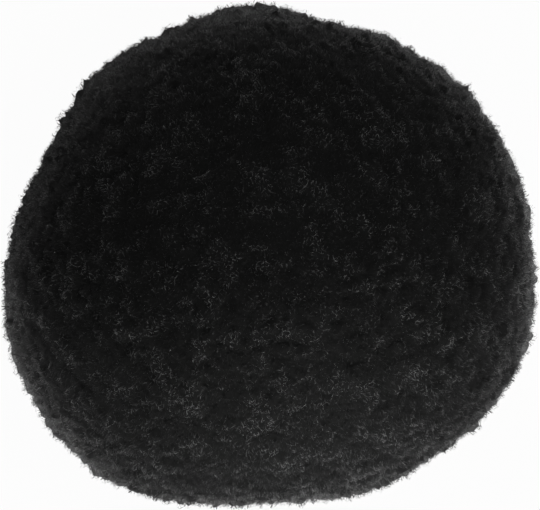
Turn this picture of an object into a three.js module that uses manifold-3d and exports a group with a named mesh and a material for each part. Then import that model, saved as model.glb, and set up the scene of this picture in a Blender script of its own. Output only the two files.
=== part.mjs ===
// A craft pom-pom: one bundle of cut fibre tied round its middle, so that both ends bloom into a ball of pile.
// Millimetres, +Z up. The origin is the centre of the flat spot that the ball rests on.
import * as THREE from "three";
import { mergeVertices } from "three/addons/utils/BufferGeometryUtils.js";
import Module from "manifold-3d";

const wasm = await Module();
wasm.setup();

// The ball of pile, before its lobes
const PILE_WIDTH = 45.9;
const PILE_DEPTH = 44;
const PILE_HEIGHT = 46;

// Fibre tips pressed flat where the ball rests, before the lobes widen the spot
const REST_SPOT_DIAMETER = 12;

// Soft lobes left by trimming: the way each one points and its spread in degrees, and how far it rises
const LOBES = [
  { azimuth: 33, elevation: 3, rise: 1.8, spread: 25.5 },
  { azimuth: 61, elevation: 5, rise: 0.4, spread: 9 },
  { azimuth: 97, elevation: 6, rise: 1.9, spread: 12 },
  { azimuth: 130, elevation: 5, rise: 1.5, spread: 11.5 },
  { azimuth: -161, elevation: -2, rise: 2, spread: 21.5 },
  { azimuth: -125, elevation: -5, rise: 2.3, spread: 18.5 },
  { azimuth: -64, elevation: -5, rise: 0.9, spread: 12.5 },
  { azimuth: -24, elevation: -2, rise: 2.3, spread: 18.5 },
  { azimuth: -150, elevation: 58, rise: 1.1, spread: 21 },
  { azimuth: -40, elevation: 55, rise: 1.2, spread: 22 },
  { azimuth: 60, elevation: 58, rise: 1, spread: 20 },
  { azimuth: -95, elevation: 42, rise: 0.6, spread: 16 },
  { azimuth: 75, elevation: -45, rise: 1, spread: 20 },
  { azimuth: -160, elevation: -48, rise: 0.9, spread: 20 },
  { azimuth: -40, elevation: -50, rise: 0.9, spread: 20 },
];

// The cord that ties the bundle at its waist
const WAIST_DIAMETER = 9;
const CORD_DIAMETER = 0.9;
const CORD_TURNS = 3;
const TURN_GAP = 0.15;

// The knot: how loosely its strands lie, and how far it presses into the wound cord
const KNOT_SLACK = 0.14;
const KNOT_BITE = 0.22;

// The two cut ends: the gap between them, and how far they stop short of the fibre tips
const TAIL_GAP = 0.1;
const TAIL_SETBACK = 1.5;

// Room left between the tie and the fibre round it
const TIE_CLEARANCE = 0.3;

// How finely the curved surfaces are cut
const PILE_DETAIL = 14;
const ROUND_STEPS = 48;
const CORD_SIDES = 8;
const STEPS_PER_TURN = 20;
const KNOT_STEPS = 48;

// Sizes that follow for the tie
const cordRadius = CORD_DIAMETER / 2;
const waistRadius = WAIST_DIAMETER / 2;
const coilRadius = waistRadius + TIE_CLEARANCE + cordRadius;
const coilHeight = CORD_TURNS * (CORD_DIAMETER + TURN_GAP);
const knotRadius = CORD_DIAMETER + KNOT_SLACK;
const knotHalfThickness = knotRadius / 2 + cordRadius;
const knotHalfWidth = 1.5 * knotRadius + cordRadius;
const knotDistance = coilRadius + cordRadius - KNOT_BITE + knotHalfThickness;
const tailOffset = (CORD_DIAMETER + TAIL_GAP) / 2;

// Sizes that follow for the hollow that the tie lies in
const nestRadius = coilRadius + cordRadius + TIE_CLEARANCE;
const nestHalfHeight = coilHeight / 2 + cordRadius + TIE_CLEARANCE;
const pocketRadius = knotHalfWidth + TIE_CLEARANCE;
const pocketEnd = knotDistance + knotHalfThickness + TIE_CLEARANCE;
const channelRadius = tailOffset + cordRadius + TIE_CLEARANCE;

// The ball's centre stands this high over the flat spot
const centreHeight = (PILE_HEIGHT / 2) * Math.sqrt(1 - (REST_SPOT_DIAMETER / PILE_WIDTH) ** 2);

// A closed solid for joining and cutting, from a three.js geometry
function solidOf(geometry) {
  const bare = geometry.index ? geometry.toNonIndexed() : geometry;
  bare.deleteAttribute("normal");
  bare.deleteAttribute("uv");
  const merged = mergeVertices(bare, 1e-4);
  const vertProperties = Float32Array.from(merged.attributes.position.array);
  const triVerts = Uint32Array.from(merged.index.array);
  return new wasm.Manifold(new wasm.Mesh({ numProp: 3, vertProperties, triVerts }));
}

// The geometry of a finished solid
function geometryOf(solid) {
  const mesh = solid.getMesh();
  const geometry = new THREE.BufferGeometry();
  geometry.setAttribute("position", new THREE.BufferAttribute(mesh.vertProperties, 3));
  geometry.setIndex(new THREE.BufferAttribute(mesh.triVerts, 1));
  geometry.computeVertexNormals();
  return geometry;
}

// The unit vector at an azimuth and an elevation given in degrees
function heading(azimuth, elevation) {
  const polar = THREE.MathUtils.degToRad(90 - elevation);
  const turn = THREE.MathUtils.degToRad(azimuth);
  return new THREE.Vector3(Math.sin(polar) * Math.cos(turn), Math.sin(polar) * Math.sin(turn), Math.cos(polar));
}

const lobes = LOBES.map(({ azimuth, elevation, rise, spread }) => ({
  axis: heading(azimuth, elevation),
  rise,
  spread: THREE.MathUtils.degToRad(spread),
}));

// How far the pile reaches from the ball's centre along a unit vector
function pileReach(direction) {
  const squash = Math.hypot(
    direction.x / (PILE_WIDTH / 2),
    direction.y / (PILE_DEPTH / 2),
    direction.z / (PILE_HEIGHT / 2),
  );
  let reach = 1 / squash;
  for (const { axis, rise, spread } of lobes) {
    reach += rise * Math.exp(-0.5 * (direction.angleTo(axis) / spread) ** 2);
  }
  return reach;
}

// A round ball pushed out to the lobed form
function lobedBall() {
  const geometry = new THREE.IcosahedronGeometry(1, PILE_DETAIL);
  const position = geometry.attributes.position;
  const point = new THREE.Vector3();
  for (let index = 0; index < position.count; index += 1) {
    point.fromBufferAttribute(position, index).normalize();
    point.multiplyScalar(pileReach(point));
    position.setXYZ(index, point.x, point.y, point.z);
  }
  return solidOf(geometry);
}

// The ring left clear round the waist for the wound cord
function nestRing() {
  const outline = [
    new THREE.Vector2(waistRadius, -nestHalfHeight),
    new THREE.Vector2(nestRadius, -nestHalfHeight),
    new THREE.Vector2(nestRadius, nestHalfHeight),
    new THREE.Vector2(waistRadius, nestHalfHeight),
    new THREE.Vector2(waistRadius, -nestHalfHeight),
  ];
  return solidOf(new THREE.LatheGeometry(outline, ROUND_STEPS).rotateX(Math.PI / 2));
}

// The pocket over the knot and the parting through the pile that the cut ends run out along
function tailParting() {
  const outline = [
    new THREE.Vector2(0, coilRadius),
    new THREE.Vector2(pocketRadius, coilRadius),
    new THREE.Vector2(pocketRadius, pocketEnd),
    new THREE.Vector2(channelRadius, pocketEnd + pocketRadius - channelRadius),
    new THREE.Vector2(channelRadius, PILE_DEPTH),
    new THREE.Vector2(0, PILE_DEPTH),
  ];
  return solidOf(new THREE.LatheGeometry(outline, ROUND_STEPS));
}

// The bundle of fibre, bloomed into a ball with a flat spot underneath
function fibrePile() {
  const under = new THREE.BoxGeometry(2 * PILE_WIDTH, 2 * PILE_DEPTH, PILE_HEIGHT);
  under.translate(0, 0, -centreHeight - PILE_HEIGHT / 2);
  return geometryOf(lobedBall().subtract(solidOf(under)).subtract(nestRing()).subtract(tailParting()));
}

// The centreline of the cord where it winds round the waist
class CoilCurve extends THREE.Curve {
  getPoint(t, target = new THREE.Vector3()) {
    const turn = Math.PI * (2 * CORD_TURNS * t + 0.5);
    return target.set(coilRadius * Math.cos(turn), coilRadius * Math.sin(turn), coilHeight * (t - 0.5));
  }
}

// The cord wound round the waist
function woundCord() {
  const corners = [];
  for (let side = 0; side < CORD_SIDES; side += 1) {
    const angle = (2 * Math.PI * side) / CORD_SIDES;
    corners.push(new THREE.Vector2(cordRadius * Math.cos(angle), cordRadius * Math.sin(angle)));
  }
  const settings = { steps: CORD_TURNS * STEPS_PER_TURN, bevelEnabled: false, extrudePath: new CoilCurve() };
  return solidOf(new THREE.ExtrudeGeometry(new THREE.Shape(corners), settings));
}

// The overhand knot, lying flat on the wound cord
function knot() {
  const geometry = new THREE.TorusKnotGeometry(knotRadius, cordRadius, KNOT_STEPS, CORD_SIDES);
  return solidOf(geometry.rotateX(Math.PI / 2).translate(0, knotDistance, 0));
}

// One cut end of the cord, from the knot to just under the fibre tips
function cordTail(side) {
  const length = pileReach(new THREE.Vector3(0, 1, 0)) - TAIL_SETBACK - knotDistance;
  const geometry = new THREE.CylinderGeometry(cordRadius, cordRadius, length, CORD_SIDES);
  return solidOf(geometry.translate(side * tailOffset, knotDistance + length / 2, 0));
}

// The tie: the wound cord, its knot and its two cut ends
function centreTie() {
  return geometryOf(woundCord().add(knot()).add(cordTail(1)).add(cordTail(-1)));
}

// A named piece with its own material, lifted so that the flat spot lies at the origin
function piece(name, geometry, color, roughness) {
  const material = new THREE.MeshStandardMaterial({ color, roughness, metalness: 0 });
  const mesh = new THREE.Mesh(geometry, material);
  mesh.name = name;
  mesh.position.z = centreHeight;
  return mesh;
}

const pomPom = new THREE.Group();
pomPom.name = "craft_pom_pom";
pomPom.add(piece("fibre_pile", fibrePile(), 0x171717, 0.9));
pomPom.add(piece("centre_tie", centreTie(), 0x262626, 0.7));

export default pomPom;
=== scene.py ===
import logging
import math
from abc import ABC, abstractmethod
from dataclasses import dataclass, fields
from enum import Enum
from typing import Any, ClassVar

import bmesh
import bpy
import numpy as np
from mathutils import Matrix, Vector
from mathutils.bvhtree import BVHTree
from mathutils.kdtree import KDTree
from numpy.typing import NDArray


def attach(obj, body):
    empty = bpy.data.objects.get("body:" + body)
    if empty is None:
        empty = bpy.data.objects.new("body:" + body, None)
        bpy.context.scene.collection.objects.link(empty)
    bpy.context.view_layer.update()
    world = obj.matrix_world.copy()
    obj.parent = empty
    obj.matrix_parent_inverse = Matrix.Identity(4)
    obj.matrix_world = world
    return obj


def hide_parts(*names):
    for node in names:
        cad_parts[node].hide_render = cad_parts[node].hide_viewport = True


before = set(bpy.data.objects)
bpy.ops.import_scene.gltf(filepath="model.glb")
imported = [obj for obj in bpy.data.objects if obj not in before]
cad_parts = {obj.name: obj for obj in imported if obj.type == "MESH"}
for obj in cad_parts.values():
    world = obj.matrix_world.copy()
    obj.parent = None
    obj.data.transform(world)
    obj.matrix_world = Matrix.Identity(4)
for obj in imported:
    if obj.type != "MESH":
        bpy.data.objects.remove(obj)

LOG = logging.getLogger("pom_pom")
Points = NDArray[np.float64]
Values = NDArray[np.float64]
Indices = NDArray[np.int64]
Mask = NDArray[np.bool_]
Colour = tuple[float, float, float, float]
Span = tuple[float, float]

MM = 0.001
TINY = 1e-9
FULL_TURN = 2.0 * math.pi
BALL_ANGLE = 4.0 * math.pi
GOLDEN_TURN = math.pi * (3.0 - math.sqrt(5.0))
BODY = "root"


def grey(level: float) -> Colour:
    """A neutral colour of the given linear level."""
    return (level, level, level, 1.0)


def unit(vectors: Points) -> Points:
    """The same vectors, each one unit long."""
    return vectors / np.linalg.norm(vectors, axis=1, keepdims=True)


def flattened(vectors: Points, headings: Points) -> Points:
    """The part of each vector that lies across its heading."""
    return vectors - headings * np.sum(vectors * headings, axis=1, keepdims=True)


def even_headings(count: int) -> Points:
    """Unit vectors spread evenly over a ball."""
    step = np.arange(count) + 0.5
    height = 1.0 - 2.0 * step / count
    turn = GOLDEN_TURN * step
    ring = np.sqrt(1.0 - height**2)
    return np.column_stack([ring * np.cos(turn), ring * np.sin(turn), height])


def bearing(azimuth: float, elevation: float) -> Vector:
    """The unit vector from the object towards a viewer; azimuth 0 is in front of it, 90 to its right."""
    turn, rise = math.radians(azimuth), math.radians(elevation)
    return Vector((math.sin(turn) * math.cos(rise), -math.cos(turn) * math.cos(rise), math.sin(rise)))


class Ray(Enum):
    """The rays that show a background: straight from the camera, by reflection or through glass."""

    CAMERA = "Is Camera Ray"
    GLOSSY = "Is Glossy Ray"
    TRANSMISSION = "Is Transmission Ray"


class Half(Enum):
    """The two tufts that the tie parts the bundle into."""

    UPPER = "upper"
    LOWER = "lower"


class Shade:
    """A shader socket that takes Python's operators: each one adds a Math node."""

    def __init__(self, board: "Board", socket: bpy.types.NodeSocket) -> None:
        """Wraps a socket of the board's node tree."""
        self.board = board
        self.socket = socket

    def _math(self, operation: str, first: "Shade | float", second: "Shade | float") -> "Shade":
        """The result of one Math node."""
        return self.board.node("ShaderNodeMath", {"operation": operation}, {0: first, 1: second})

    def __add__(self, other: "Shade | float") -> "Shade":
        """This value plus another."""
        return self._math("ADD", self, other)

    def __sub__(self, other: "Shade | float") -> "Shade":
        """This value less another."""
        return self._math("SUBTRACT", self, other)

    def __rsub__(self, other: "Shade | float") -> "Shade":
        """Another value less this one."""
        return self._math("SUBTRACT", other, self)

    def __mul__(self, other: "Shade | float") -> "Shade":
        """This value times another."""
        return self._math("MULTIPLY", self, other)

    def at_least(self, other: "Shade | float") -> "Shade":
        """The larger of this value and another."""
        return self._math("MAXIMUM", self, other)

    __radd__ = __add__
    __rmul__ = __mul__


class Board:
    """A node tree that finishes are laid out on."""

    DETAIL = 2.0

    def __init__(self, tree: bpy.types.NodeTree) -> None:
        """Clears the tree.

        Args:
            tree: the node tree of a material or the world.
        """
        self.tree = tree
        tree.nodes.clear()

    def node(
        self,
        kind: str,
        settings: dict[str, Any] | None = None,
        sockets: dict[int | str, Any] | None = None,
        output: int | str = 0,
    ) -> Shade:
        """Adds one node.

        Args:
            kind: the node's Blender type.
            settings: the node's own properties, set before its sockets.
            sockets: a value or a Shade for each input socket, by index or name.
            output: which output socket to hand back.

        Returns:
            The chosen output, or the node's first input where it has no output.
        """
        made = self.tree.nodes.new(kind)
        for name, value in (settings or {}).items():
            setattr(made, name, value)
        for key, value in (sockets or {}).items():
            if isinstance(value, Shade):
                self.tree.links.new(value.socket, made.inputs[key])
            else:
                made.inputs[key].default_value = value
        return Shade(self, made.outputs[output] if made.outputs else made.inputs[0])

    def place(self) -> Shade:
        """The object's own coordinates."""
        return self.node("ShaderNodeTexCoord", output="Object")

    def noise(self, scale: float) -> Shade:
        """A soft random pattern of the given scale, from 0 to 1."""
        sockets = {"Vector": self.place(), "Scale": scale, "Detail": self.DETAIL}
        return self.node("ShaderNodeTexNoise", None, sockets)

    def attribute(self, name: str) -> Shade:
        """A value that the mesh holds under the given name."""
        return self.node("ShaderNodeAttribute", {"attribute_name": name}, output="Fac")

    def background_rays(self) -> Shade:
        """1 for rays that show the background, and 0 for the rest."""
        camera, glossy, through = (self.node("ShaderNodeLightPath", output=ray.value) for ray in Ray)
        return camera.at_least(glossy).at_least(through)

    def blend(self, share: Shade | float, first: Shade | Colour, second: Shade | Colour) -> Shade:
        """Mixes two colours.

        Args:
            share: how much of the second colour shows, from 0 to 1.
            first: the colour at 0.
            second: the colour at 1.

        Returns:
            The mixed colour.
        """
        settings = {"data_type": "RGBA", "clamp_factor": True}
        return self.node("ShaderNodeMix", settings, {0: share, 6: first, 7: second}, output=2)


class Finish(ABC):
    """A procedural material."""

    name: str

    @abstractmethod
    def surface(self, board: Board) -> Shade:
        """Lays out the surface's nodes.

        Args:
            board: the board to add the nodes to.

        Returns:
            The surface's shader.
        """

    def material(self) -> bpy.types.Material:
        """Builds the material.

        Returns:
            A new material with this finish.
        """
        made = bpy.data.materials.new(self.name)
        made.use_nodes = True
        board = Board(made.node_tree)
        board.node("ShaderNodeOutputMaterial", None, {"Surface": self.surface(board)})
        return made


@dataclass(frozen=True)
class FibreFinish(Finish):
    """Black dyed acrylic fibre: a tone for each fibre, which also holds painted shade at the roots and
    painted sheen and highlights in pale fibres, a dull surface and a pale bloom seen edge-on.
    """

    name: str = "black_acrylic_fibre"
    dark: float = 0.002
    # the pale end is painted sheen and highlight, reached by the fuzz and the loose patches
    light: float = 0.3
    dye_scale: float = 900.0
    dye_low: float = 0.6
    dye_range: float = 0.8
    roughness: float = 0.6
    specular: float = 0.1
    sheen: float = 0.36
    sheen_roughness: float = 0.22

    def surface(self, board: Board) -> Shade:
        """Lays out the fibre's nodes, which read each fibre's tone from its mesh.

        Args:
            board: the board to add the nodes to.

        Returns:
            The fibre's shader.
        """
        dye = board.noise(self.dye_scale)
        share = board.attribute(FibreCoat.TONE) * (self.dye_low + dye * self.dye_range)
        return board.node(
            "ShaderNodeBsdfPrincipled",
            None,
            {
                "Base Color": board.blend(share, grey(self.dark), grey(self.light)),
                "Roughness": self.roughness,
                "Specular IOR Level": self.specular,
                "Sheen Weight": self.sheen,
                "Sheen Roughness": self.sheen_roughness,
            },
        )


@dataclass(frozen=True)
class HeartFinish(Finish):
    """The packed fibre between the ends: nearly black and finely grained, with a painted highlight that
    makes it paler in the loose patches.
    """

    name: str = "packed_fibre"
    dark: float = 0.0015
    light: float = 0.005
    # painted highlight: the paler colour of the loose patches
    loose: float = 0.007
    roughness: float = 0.8
    specular: float = 0.05
    sheen: float = 0.1
    sheen_roughness: float = 0.22
    grain_scale: float = 2400.0

    def surface(self, board: Board) -> Shade:
        """Lays out the packed fibre's nodes, which read from its mesh where the loose patches take the
        painted highlight.

        Args:
            board: the board to add the nodes to.

        Returns:
            The packed fibre's shader.
        """
        grain = board.noise(self.grain_scale)
        packed = board.blend(grain, grey(self.dark), grey(self.light))
        share = board.attribute(PileHeart.LOOSE) * grain
        return board.node(
            "ShaderNodeBsdfPrincipled",
            None,
            {
                "Base Color": board.blend(share, packed, grey(self.loose)),
                "Roughness": self.roughness,
                "Specular IOR Level": self.specular,
                "Sheen Weight": self.sheen,
                "Sheen Roughness": self.sheen_roughness,
            },
        )


@dataclass(frozen=True)
class CordFinish(Finish):
    """Twisted black cord: slanting plies with a soft fuzz between them."""

    name: str = "twisted_cord"
    dark: float = 0.006
    light: float = 0.03
    roughness: float = 0.75
    ply_scale: float = 420.0
    ply_waver: float = 1.5
    bump_distance: float = 0.00012
    bump_strength: float = 0.7

    def surface(self, board: Board) -> Shade:
        """Lays out the cord's nodes.

        Args:
            board: the board to add the nodes to.

        Returns:
            The cord's shader.
        """
        plies = board.node(
            "ShaderNodeTexWave",
            {"wave_type": "BANDS", "bands_direction": "DIAGONAL"},
            {
                "Vector": board.place(),
                "Scale": self.ply_scale,
                "Distortion": self.ply_waver,
                "Detail": board.DETAIL,
            },
            output="Fac",
        )
        bump = board.node(
            "ShaderNodeBump",
            None,
            {"Height": plies, "Distance": self.bump_distance, "Strength": self.bump_strength},
        )
        return board.node(
            "ShaderNodeBsdfPrincipled",
            None,
            {
                "Base Color": board.blend(plies, grey(self.dark), grey(self.light)),
                "Roughness": self.roughness,
                "Normal": bump,
            },
        )


@dataclass(frozen=True)
class PaperFinish(Finish):
    """Pale studio paper that shows white to the camera and keeps a soft shadow."""

    name: str = "studio_paper"
    paper: float = 0.5
    fleck: float = 0.01
    fleck_scale: float = 30.0
    glow_share: float = 0.97

    def surface(self, board: Board) -> Shade:
        """Lays out the paper's nodes.

        Args:
            board: the board to add the nodes to.

        Returns:
            The paper's shader.
        """
        flecks = board.noise(self.fleck_scale)
        colour = board.blend(flecks, grey(self.paper - self.fleck), grey(self.paper + self.fleck))
        sheet = board.node("ShaderNodeBsdfDiffuse", None, {"Color": colour})
        glow = board.node("ShaderNodeEmission", None, {"Color": grey(1.0), "Strength": 1.0})
        share = board.background_rays() * self.glow_share
        return board.node("ShaderNodeMixShader", None, {0: share, 1: sheet, 2: glow})


@dataclass(frozen=True)
class Ripple:
    """A soft random field: seeded plane waves of about one wavelength, in millimetres."""

    wavelength: float
    seed: int
    waves: int = 28
    spread: Span = (0.75, 1.35)

    def at(self, points: Points, parts: int = 1) -> Points:
        """Reads the field.

        Args:
            points: where to read it, in millimetres.
            parts: how many independent values to give at each point.

        Returns:
            One column for each part, each with a spread of about 1.
        """
        chance = np.random.default_rng(self.seed)
        columns = []
        for _ in range(parts):
            ways = unit(chance.normal(size=(self.waves, 3)))
            lengths = self.wavelength * chance.uniform(*self.spread, self.waves)
            starts = chance.uniform(0.0, FULL_TURN, self.waves)
            phases = points @ (ways * (FULL_TURN / lengths)[:, None]).T + starts
            columns.append(np.sin(phases).sum(axis=1) * math.sqrt(2.0 / self.waves))
        return np.column_stack(columns)


class PileForm:
    """The trimmed outside of the pile, read from its CAD solid, in millimetres."""

    FAR = 60.0
    SHALLOWEST = 18.0
    BESIDE_COSINE = 0.985
    SAMPLES = 2000

    def __init__(self, node: bpy.types.Object) -> None:
        """Reads the solid.

        Args:
            node: the CAD node of the pile.
        """
        mesh = node.data
        flat = np.empty(len(mesh.vertices) * 3)
        mesh.vertices.foreach_get("co", flat)
        corners = flat.reshape(-1, 3) / MM
        faces = [tuple(polygon.vertices) for polygon in mesh.polygons]
        self.tree = BVHTree.FromPolygons([tuple(corner) for corner in corners], faces)
        low, high = corners.min(axis=0), corners.max(axis=0)
        self.centre: Points = np.array([0.0, 0.0, (low[2] + high[2]) / 2.0])
        self.radius = float(np.median(self.reach(even_headings(self.SAMPLES))))

    def reach(self, headings: Points) -> Values:
        """Measures from the centre to the outside.

        Args:
            headings: unit vectors from the centre.

        Returns:
            The distance to the outside along each; over the cord's parting, that of the pile round it.
        """
        found = np.empty(len(headings))
        for index, heading in enumerate(headings):
            start = self.centre + heading * self.FAR
            hit = self.tree.ray_cast(Vector(start), Vector(-heading))
            found[index] = self.FAR - hit[3] if hit[0] is not None else 0.0
        missed = found < self.SHALLOWEST
        if missed.any():
            middle = headings[missed].mean(axis=0)
            cosine = headings @ (middle / np.linalg.norm(middle))
            found[missed] = np.median(found[(cosine > self.BESIDE_COSINE) & ~missed])
        return found


class Clumps:
    """Rounded clumps that neighbouring fibre ends gather into."""

    WANDER = 0.3
    SIZE_SQUARED = 0.36
    DEEPEST = 1.5

    def __init__(self, form: PileForm, count: int, height: float, spread: float, seed: int) -> None:
        """Scatters the clumps over the ball.

        Args:
            form: the outside of the pile.
            count: how many clumps there are.
            height: how far a clump's middle stands over its edge, in millimetres.
            spread: how much further some clumps stand than others, in millimetres.
            seed: starts the random numbers.
        """
        chance = np.random.default_rng(seed)
        self.height = height
        self.spacing = form.radius * math.sqrt(BALL_ANGLE / count)
        wander = chance.normal(0.0, self.WANDER * self.spacing / form.radius, (count, 3))
        self.radius = form.radius
        self.heads = unit(even_headings(count) + wander)
        self.stand = chance.normal(0.0, spread, count)
        self.tree = KDTree(count)
        for index, head in enumerate(self.heads):
            self.tree.insert(Vector(head), index)
        self.tree.balance()

    def nearest(self, headings: Points) -> Indices:
        """Finds the clump at each heading.

        Args:
            headings: unit vectors from the centre of the ball.

        Returns:
            The number of the nearest clump to each.
        """
        return np.array([self.tree.find(Vector(heading))[1] for heading in headings], dtype=np.int64)

    def at(self, headings: Points) -> tuple[Values, Points]:
        """Reads the clumps.

        Args:
            headings: unit vectors from the centre of the ball.

        Returns:
            The rise at each in millimetres, and how far it lies from its clump's middle as a share of
            the clumps' spacing.
        """
        nearest = self.nearest(headings)
        offset = (headings - self.heads[nearest]) * (self.radius / self.spacing)
        away = np.minimum(np.sum(offset**2, axis=1) / self.SIZE_SQUARED, self.DEEPEST)
        return self.height * (0.5 - away) + self.stand[nearest] * np.maximum(1.0 - away, 0.0), offset


@dataclass(frozen=True)
class Snip:
    """A snip in the trim, or a wisp that stands out of it.

    It has an azimuth, an elevation and a spread in degrees, and a rise in millimetres.
    """

    azimuth: float
    elevation: float
    spread: float
    rise: float

    def at(self, headings: Points) -> Values:
        """Its rise at each heading, in millimetres."""
        turn, tip = math.radians(self.azimuth), math.radians(self.elevation)
        level = math.cos(tip)
        axis = np.array([level * math.cos(turn), level * math.sin(turn), math.sin(tip)])
        away = np.degrees(np.arccos(np.clip(unit(headings) @ axis, -1.0, 1.0)))
        return self.rise * np.exp(-0.5 * (away / self.spread) ** 2)


class Relief:
    """The uneven trim of the pile: broad swells, loose patches, a few snips and wisps, and small tufts.

    Each swell has a wavelength and a rise in millimetres, and each layer of patches a wavelength and a
    weight; both end with a seed.
    """

    SWELLS = ((9.0, 0.08, 11), (3.4, 0.08, 12))
    PATCHES = ((4.8, 0.85, 31), (2.0, 0.75, 32), (1.0, 0.5, 33))
    PATCH_FROM = -0.2
    PATCH_RANGE = 1.8
    PATCH_RISE = 0.22
    PATCH_LEVEL = 0.6
    SLOPE_STEP = 0.1
    SLOPE_SHARE = 0.25
    TUFT_ROUNDNESS = 0.15
    SNIPS = (
        Snip(-136.0, -3.0, 2.5, -0.29),
        Snip(-108.0, -5.0, 3.5, -0.46),
        Snip(-88.0, -5.0, 3.5, -0.31),
        Snip(-37.0, -3.0, 2.5, -0.22),
        Snip(22.0, 2.0, 10.0, 0.18),
        Snip(77.0, 5.0, 2.5, -0.24),
        Snip(113.0, 5.0, 2.5, -0.46),
        Snip(147.0, 3.0, 10.0, -0.25),
        Snip(175.0, 0.0, 2.5, -0.31),
        Snip(-142.0, -3.0, 2.5, 0.24),
        Snip(70.0, 5.0, 2.5, 0.23),
        Snip(98.0, 5.0, 2.5, 0.24),
    )

    def __init__(self, form: PileForm) -> None:
        """Lays out the relief over the ball.

        Args:
            form: the outside of the pile.
        """
        self.form = form
        self.tufts = Clumps(form, count=9000, height=0.2, spread=0.2, seed=52)

    def at(self, headings: Points) -> tuple[Values, Points]:
        """Reads the relief.

        Args:
            headings: unit vectors from the centre of the ball.

        Returns:
            The rise at each in millimetres, and the unit vector that faces away from the pile there.
        """
        swell = self.swell(headings)
        slope = np.zeros_like(headings)
        for axis in np.eye(3):
            beside = self.swell(headings + axis * self.SLOPE_STEP / self.form.radius)
            slope += axis * ((beside - swell) / self.SLOPE_STEP)[:, None]
        tuft, offset = self.tufts.at(headings)
        rounded = headings + offset * self.TUFT_ROUNDNESS
        return swell + tuft, unit(rounded - flattened(slope, headings) * self.SLOPE_SHARE)

    def patches(self, headings: Points) -> Values:
        """Finds where the fibre ends have worked loose.

        Args:
            headings: unit vectors from the centre of the ball.

        Returns:
            How loose the ends are at each, from 0 to 1.
        """
        place = headings * self.form.radius
        field = sum(Ripple(size, seed).at(place)[:, 0] * weight for size, weight, seed in self.PATCHES)
        share = np.clip((field - self.PATCH_FROM) / self.PATCH_RANGE, 0.0, 1.0)
        return share**2 * (3.0 - 2.0 * share)

    def swell(self, headings: Points) -> Values:
        """The rise of everything but the small tufts at each heading, in millimetres."""
        place = headings * self.form.radius
        broad = sum(Ripple(size, seed).at(place)[:, 0] * rise for size, rise, seed in self.SWELLS)
        snips = sum(snip.at(headings) for snip in self.SNIPS)
        return broad + self.PATCH_RISE * (self.patches(headings) - self.PATCH_LEVEL) + snips


@dataclass
class PileHeart:
    """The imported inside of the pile, which the fibre ends stand out of; sizes in millimetres."""

    node: bpy.types.Object
    form: PileForm
    relief: Relief
    finish: HeartFinish
    depth: float = 0.34
    skin_from: float = 15.0
    cuts: int = 3
    weld: float = 0.002

    LOOSE: ClassVar[str] = "loose_share"

    def build(self) -> bpy.types.Object:
        """Sinks the CAD solid's outside below the fibre tips and gives it the relief.

        Returns:
            The heart, with the tie's hollow still in it.
        """
        work = bmesh.new()
        work.from_mesh(self.node.data)
        bmesh.ops.remove_doubles(work, verts=work.verts, dist=self.weld * MM)
        bmesh.ops.triangulate(work, faces=work.faces)
        bmesh.ops.subdivide_edges(work, edges=work.edges, cuts=self.cuts, use_grid_fill=True)
        bmesh.ops.triangulate(work, faces=work.faces)
        places = np.array([corner.co for corner in work.verts]) / MM
        out = places - self.form.centre
        far = np.linalg.norm(out, axis=1)
        headings = out / np.maximum(far, TINY)[:, None]
        rise, facing = self.relief.at(headings)
        shift = np.where(far > self.skin_from, rise - self.depth, 0.0)
        moved = places + out * (shift / np.maximum(far, TINY))[:, None]
        moved[:, 2] = np.maximum(moved[:, 2], self.depth)
        for corner, place in zip(work.verts, moved, strict=True):
            corner.co = place * MM
        mesh = bpy.data.meshes.new("pile_heart")
        work.to_mesh(mesh)
        work.free()
        mesh.shade_smooth()
        mesh.normals_split_custom_set_from_vertices(facing.tolist())
        # painted highlight: how loose the pile is, which pales the heart's colour
        loose = mesh.attributes.new(self.LOOSE, "FLOAT", "POINT")
        loose.data.foreach_set("value", self.relief.patches(headings).astype(np.float32))
        mesh.materials.append(self.finish.material())
        made = bpy.data.objects.new("pile_heart", mesh)
        bpy.context.scene.collection.objects.link(made)
        return made


@dataclass(frozen=True)
class FibreKind:
    """One kind of fibre end: its share of all the ends, its sizes in millimetres, and how it stands.

    Its tone is given twice, for the flat parts of the pile and for the loose patches, where the paler
    tone is a painted highlight.
    """

    share: float
    thickness: float
    tilt: float
    lift: float
    length: float
    flat_tone: float
    patch_highlight_tone: float


PACKED_END = FibreKind(
    share=0.32, thickness=0.07, tilt=0.3, lift=0.0, length=0.95, flat_tone=0.02, patch_highlight_tone=0.3
)
TANGLED_END = FibreKind(
    share=0.28, thickness=0.028, tilt=0.8, lift=0.03, length=0.5, flat_tone=0.05, patch_highlight_tone=2.8
)
# painted sheen: the fine fuzz is pale, though the fibre is black, to stand in for the bright haze at the
# ball's rim
SHEEN_FUZZ = FibreKind(
    share=0.40, thickness=0.015, tilt=0.5, lift=0.06, length=0.55, flat_tone=0.8, patch_highlight_tone=2.8
)


@dataclass(frozen=True)
class FibreLay:
    """How unevenly the fibre ends lie: sizes in millimetres, leans as slopes, ranges as shares.

    The comb is the field that whole stretches of pile lean by. The two shapes are those of the random
    tones of single fibres and of whole tufts.
    """

    scatter: float = 0.5
    shortfall: float = 0.05
    comb: Ripple = Ripple(8.0, seed=21)
    comb_lean: float = 0.05
    tuft_lean: float = 0.16
    loose_tilt: float = 0.6
    bow: float = 0.07
    length_range: Span = (0.8, 1.2)
    shoulder_range: Span = (0.1, 0.25)
    thickness_range: Span = (0.7, 1.3)
    tone_shape: Span = (0.7, 1.6)
    tuft_tone_shape: float = 3.0


@dataclass(frozen=True)
class RestSpot:
    """How far the fibres stay over the table under the ball, in millimetres."""

    gap: float = 0.03
    unevenness: float = 0.25
    shoulder_rise: float = 0.08
    root_rise: float = 0.3


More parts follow.
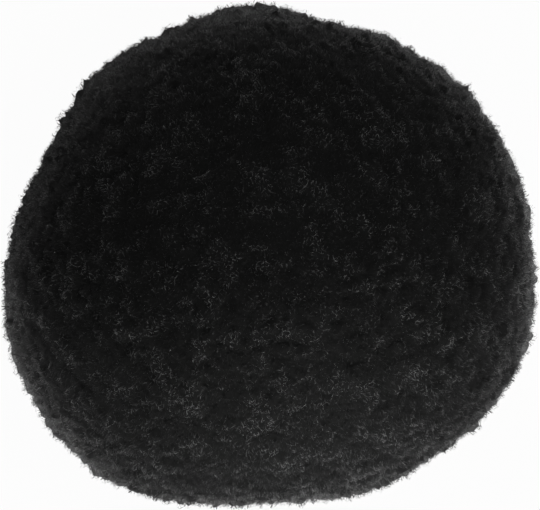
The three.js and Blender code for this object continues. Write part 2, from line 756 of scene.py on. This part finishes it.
@dataclass
class Strands:
    """Fibre ends, one to a row, in millimetres.

    Facing is the way the pile faces there, tones run from 0 to 1, and girths are half the thickness.
    """

    roots: Points
    shoulders: Points
    tips: Points
    facing: Points
    tones: Values
    girths: Values

    def pick(self, mask: Mask) -> "Strands":
        """The strands that the mask marks."""
        return Strands(*(getattr(self, field.name)[mask] for field in fields(self)))


@dataclass
class FibreCoat:
    """The cut fibre ends of the two tufts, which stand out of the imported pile."""

    form: PileForm
    relief: Relief
    finish: FibreFinish
    kinds: tuple[FibreKind, ...] = (PACKED_END, TANGLED_END, SHEEN_FUZZ)
    lay: FibreLay = FibreLay()
    rest: RestSpot = RestSpot()
    fibres: int = 148000
    sectors: int = 3
    seed: int = 7

    TONE: ClassVar[str] = "fibre_tone"
    BAKE_MAP: ClassVar[str] = "OFBake"
    BAKE_MARGIN: ClassVar[float] = 0.1
    ROUNDNESS: ClassVar[float] = 0.5
    SIDES: ClassVar[int] = 3
    CORNERS: ClassVar[int] = 5
    # painted shade: the tone falls from tip to root, where the pile shades the strand
    ROOT_SHADE_TONES: ClassVar[tuple[float, ...]] = (0.05, 0.5, 0.5, 0.5, 1.0)
    FACES: ClassVar[tuple[tuple[int, int, int], ...]] = (
        (0, 2, 1), (0, 3, 2), (0, 1, 3), (4, 1, 2), (4, 2, 3), (4, 3, 1)
    )

    def strands(self) -> Strands:
        """Lays every fibre end.

        Returns:
            All the fibre ends of both tufts.
        """
        lay = self.lay
        chance = np.random.default_rng(self.seed)
        count = self.fibres
        spacing = math.sqrt(BALL_ANGLE / count)
        heading = unit(even_headings(count) + chance.normal(0.0, lay.scatter * spacing, (count, 3)))
        reach = self.form.reach(heading)
        place = self.form.centre + heading * reach[:, None]
        rise, facing = self.relief.at(heading)
        patch = self.relief.patches(heading)
        tuft = self.relief.tufts.nearest(heading)
        tufts = len(self.relief.tufts.heads)
        which = chance.choice(len(self.kinds), count, p=[kind.share for kind in self.kinds])
        thickness, tilt, most, length, flat_tone, patch_highlight_tone = (
            np.array([getattr(kind, name) for kind in self.kinds])[which]
            for name in ("thickness", "tilt", "lift", "length", "flat_tone", "patch_highlight_tone")
        )

        lift = rise - np.abs(chance.normal(0.0, lay.shortfall, count))
        lift += most * chance.random(count)
        combed = lay.comb.at(place, 3) * lay.comb_lean
        combed = combed + chance.normal(0.0, lay.tuft_lean, (tufts, 3))[tuft]
        stray = (tilt * (1.0 + lay.loose_tilt * patch))[:, None]
        lean = flattened(combed + stray * chance.normal(0.0, 1.0, (count, 3)), heading)
        way = unit(facing - lean)
        length = length[:, None] * chance.uniform(*lay.length_range, (count, 1))
        tips = self.form.centre + heading * (reach + lift)[:, None]
        roots = tips - way * length
        bow = flattened(chance.normal(0.0, lay.bow, (count, 3)), heading)
        shoulders = tips - way * length * chance.uniform(*lay.shoulder_range, (count, 1)) + bow

        low = self.rest.gap + chance.uniform(0.0, self.rest.unevenness, count)
        tips[:, 2] = np.maximum(tips[:, 2], low)
        shoulders[:, 2] = np.maximum(shoulders[:, 2], low + self.rest.shoulder_rise)
        roots[:, 2] = np.maximum(roots[:, 2], low + self.rest.root_rise)

        # painted highlight: in the loose patches the fibres take a far paler tone
        tone = (flat_tone + (patch_highlight_tone - flat_tone) * patch) * chance.beta(*lay.tone_shape, count)
        tone *= chance.gamma(lay.tuft_tone_shape, 1.0 / lay.tuft_tone_shape, tufts)[tuft]
        girths = thickness / 2.0 * chance.uniform(*lay.thickness_range, count)
        return Strands(roots, shoulders, tips, facing, np.clip(tone, 0.0, 1.0), girths)

    def strand_mesh(self, name: str, strands: Strands) -> bpy.types.Mesh:
        """Makes closed three-sided strands, thickest at the shoulder and pointed at both ends.

        Args:
            name: the mesh's name.
            strands: the strands to make.

        Returns:
            The mesh, with a tone on each vertex, darker towards the root as painted shade, and a cell of
            the bake map for each strand.
        """
        count = len(strands.roots)
        chance = np.random.default_rng(self.seed + count)
        axis = unit(strands.tips - strands.roots)
        side = unit(np.cross(axis, chance.normal(size=(count, 3))))
        other = np.cross(axis, side)
        corners = np.empty((count, self.CORNERS, 3))
        normals = np.repeat(strands.facing[:, None, :], self.CORNERS, axis=1)
        corners[:, 0] = strands.roots
        for corner in range(self.SIDES):
            angle = FULL_TURN * corner / self.SIDES
            spoke = math.cos(angle) * side + math.sin(angle) * other
            corners[:, 1 + corner] = strands.shoulders + strands.girths[:, None] * spoke
            normals[:, 1 + corner] += spoke * self.ROUNDNESS
        corners[:, -1] = strands.tips
        starts = np.arange(count)[:, None, None] * self.CORNERS
        faces = (starts + np.array(self.FACES, dtype=np.int64)).reshape(-1, 3)
        mesh = bpy.data.meshes.new(name)
        mesh.vertices.add(count * self.CORNERS)
        mesh.vertices.foreach_set("co", (corners * MM).astype(np.float32).ravel())
        mesh.loops.add(len(faces) * 3)
        mesh.loops.foreach_set("vertex_index", faces.astype(np.int32).ravel())
        mesh.polygons.add(len(faces))
        mesh.polygons.foreach_set("loop_start", np.arange(0, len(faces) * 3, 3, dtype=np.int32))
        mesh.polygons.foreach_set("use_smooth", np.ones(len(faces), dtype=bool))
        mesh.update(calc_edges=True)
        mesh.normals_split_custom_set_from_vertices(unit(normals.reshape(-1, 3)).tolist())
        # painted shade deep in the pile: each strand darkens towards its root
        tones = strands.tones[:, None] * np.array(self.ROOT_SHADE_TONES)
        tone = mesh.attributes.new(self.TONE, "FLOAT", "POINT")
        tone.data.foreach_set("value", tones.astype(np.float32).ravel())
        self.lay_bake_map(mesh, count)
        return mesh

    def lay_bake_map(self, mesh: bpy.types.Mesh, count: int) -> None:
        """Gives every strand a cell of its own in the bake map.

        Args:
            mesh: the strands' mesh.
            count: how many strands it holds.
        """
        across = math.ceil(math.sqrt(count))
        thirds = np.arange(3) / 3.0
        root_side = [[(0.0, t + 1 / 6), (0.5, t + 1 / 3), (0.5, t)] for t in thirds]
        tip_side = [[(1.0, t + 1 / 6), (0.5, t), (0.5, t + 1 / 3)] for t in thirds]
        shape = np.array(root_side + tip_side).reshape(1, -1, 2)
        cell = shape * (1.0 - 2.0 * self.BAKE_MARGIN) + self.BAKE_MARGIN
        corner = np.column_stack([np.arange(count) % across, np.arange(count) // across])
        laid = (corner[:, None, :] + cell) / across
        mesh.uv_layers.new(name=self.BAKE_MAP)
        mesh.uv_layers[self.BAKE_MAP].data.foreach_set("uv", laid.astype(np.float32).ravel())

    def build(self) -> list[bpy.types.Object]:
        """Makes the upper and the lower tuft, each in a few sectors.

        Returns:
            One object for each sector.
        """
        strands = self.strands()
        out = strands.tips - self.form.centre
        above = out[:, 2] >= 0.0
        sector = np.floor((np.arctan2(out[:, 1], out[:, 0]) / FULL_TURN + 0.5) * self.sectors)
        sector = np.clip(sector, 0, self.sectors - 1)
        finish = self.finish.material()
        made = []
        for half in Half:
            chosen = above == (half is Half.UPPER)
            for number in range(self.sectors):
                name = f"{half.value}_tuft_{number + 1}"
                mesh = self.strand_mesh(name, strands.pick(chosen & (sector == number)))
                mesh.materials.append(finish)
                piece = bpy.data.objects.new(name, mesh)
                bpy.context.scene.collection.objects.link(piece)
                made.append(piece)
        return made


@dataclass
class CentreTie:
    """The cord that ties the bundle at its waist, shown as its CAD solid."""

    node: bpy.types.Object
    finish: CordFinish

    def build(self) -> bpy.types.Object:
        """Gives the cord its finish.

        Returns:
            The tie's CAD node.
        """
        self.node.data.materials.clear()
        self.node.data.materials.append(self.finish.material())
        return self.node


@dataclass(frozen=True)
class Lamp:
    """A soft rectangular lamp aimed at the middle of the ball."""

    name: str
    azimuth: float
    elevation: float
    distance: float
    width: float
    height: float
    power: float

    def build(self, target: Vector) -> bpy.types.Object:
        """Hangs the lamp.

        Args:
            target: the point it is aimed at.

        Returns:
            The lamp.
        """
        data = bpy.data.lights.new(self.name, "AREA")
        data.shape = "RECTANGLE"
        data.size, data.size_y = self.width, self.height
        data.energy = self.power
        lamp = bpy.data.objects.new(self.name, data)
        back = bearing(self.azimuth, self.elevation)
        lamp.location = target + back * self.distance
        lamp.rotation_euler = (-back).to_track_quat("-Z", "Y").to_euler()
        bpy.context.scene.collection.objects.link(lamp)
        return lamp


FRONT_STRIP = Lamp(
    "front_strip", azimuth=9.0, elevation=1.0, distance=0.9, width=0.8, height=0.08, power=15.0
)
TOP_SOFTBOX = Lamp(
    "top_softbox", azimuth=50.0, elevation=73.0, distance=0.9, width=0.4, height=0.4, power=4.8
)


@dataclass
class Studio:
    """A pale paper floor, soft light and the camera."""

    paper: PaperFinish
    lamps: tuple[Lamp, ...] = (FRONT_STRIP, TOP_SOFTBOX)
    floor_size: float = 6.0
    ambient: float = 0.12
    camera_azimuth: float = 0.0
    camera_elevation: float = 85.0
    camera_distance: float = 0.6
    sensor_width: float = 36.0
    clip: Span = (0.01, 50.0)
    seen_width: float = 0.0499
    aim: tuple[float, float, float] = (0.0002, 0.00066, 0.0222)

    def build(self) -> None:
        """Sets the stage."""
        target = Vector(self.aim)
        self.lay_floor()
        self.light_world()
        for lamp in self.lamps:
            lamp.build(target)
        self.place_camera(target)
        bpy.context.scene.view_settings.view_transform = "Standard"

    def lay_floor(self) -> None:
        """Lays the paper the ball rests on."""
        half = self.floor_size / 2.0
        corners = [(-half, -half, 0.0), (half, -half, 0.0), (half, half, 0.0), (-half, half, 0.0)]
        mesh = bpy.data.meshes.new("paper_floor")
        mesh.from_pydata(corners, [], [(0, 1, 2, 3)])
        mesh.materials.append(self.paper.material())
        floor = bpy.data.objects.new("paper_floor", mesh)
        bpy.context.scene.collection.objects.link(floor)

    def light_world(self) -> None:
        """Fills the studio with soft light, and shows white behind the paper's edge."""
        world = bpy.data.worlds.new("studio")
        bpy.context.scene.world = world
        world.use_nodes = True
        board = Board(world.node_tree)
        strength = self.ambient + board.background_rays() * (1.0 - self.ambient)
        fill = board.node("ShaderNodeBackground", None, {"Color": grey(1.0), "Strength": strength})
        board.node("ShaderNodeOutputWorld", None, {"Surface": fill})

    def place_camera(self, target: Vector) -> None:
        """Sets the camera at the photograph's viewing angle.

        Args:
            target: the point at the middle of the frame.
        """
        data = bpy.data.cameras.new("camera")
        data.sensor_width = self.sensor_width
        data.lens = self.sensor_width * self.camera_distance / self.seen_width
        data.clip_start, data.clip_end = self.clip
        camera = bpy.data.objects.new("camera", data)
        back = bearing(self.camera_azimuth, self.camera_elevation)
        camera.location = target + back * self.camera_distance
        camera.rotation_euler = (-back).to_track_quat("-Z", "Y").to_euler()
        bpy.context.scene.collection.objects.link(camera)
        bpy.context.scene.camera = camera


def count_triangles(piece: bpy.types.Object) -> int:
    """The number of triangles in a piece's mesh."""
    return sum(len(polygon.vertices) - 2 for polygon in piece.data.polygons)


def main() -> None:
    """Builds the pom-pom and its studio."""
    logging.basicConfig(level=logging.INFO, format="%(message)s")
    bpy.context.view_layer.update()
    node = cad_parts["fibre_pile"]
    form = PileForm(node)
    relief = Relief(form)
    heart = PileHeart(node, form, relief, HeartFinish()).build()
    coat = FibreCoat(form, relief, FibreFinish()).build()
    for piece in [heart, *coat]:
        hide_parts("fibre_pile")
        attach(piece, BODY)
        LOG.info("%s: %d triangles", piece.name, count_triangles(piece))
    tie = CentreTie(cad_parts["centre_tie"], CordFinish()).build()
    LOG.info("%s: %d triangles", tie.name, count_triangles(tie))
    Studio(PaperFinish()).build()


if __name__ == "__main__":
    main()
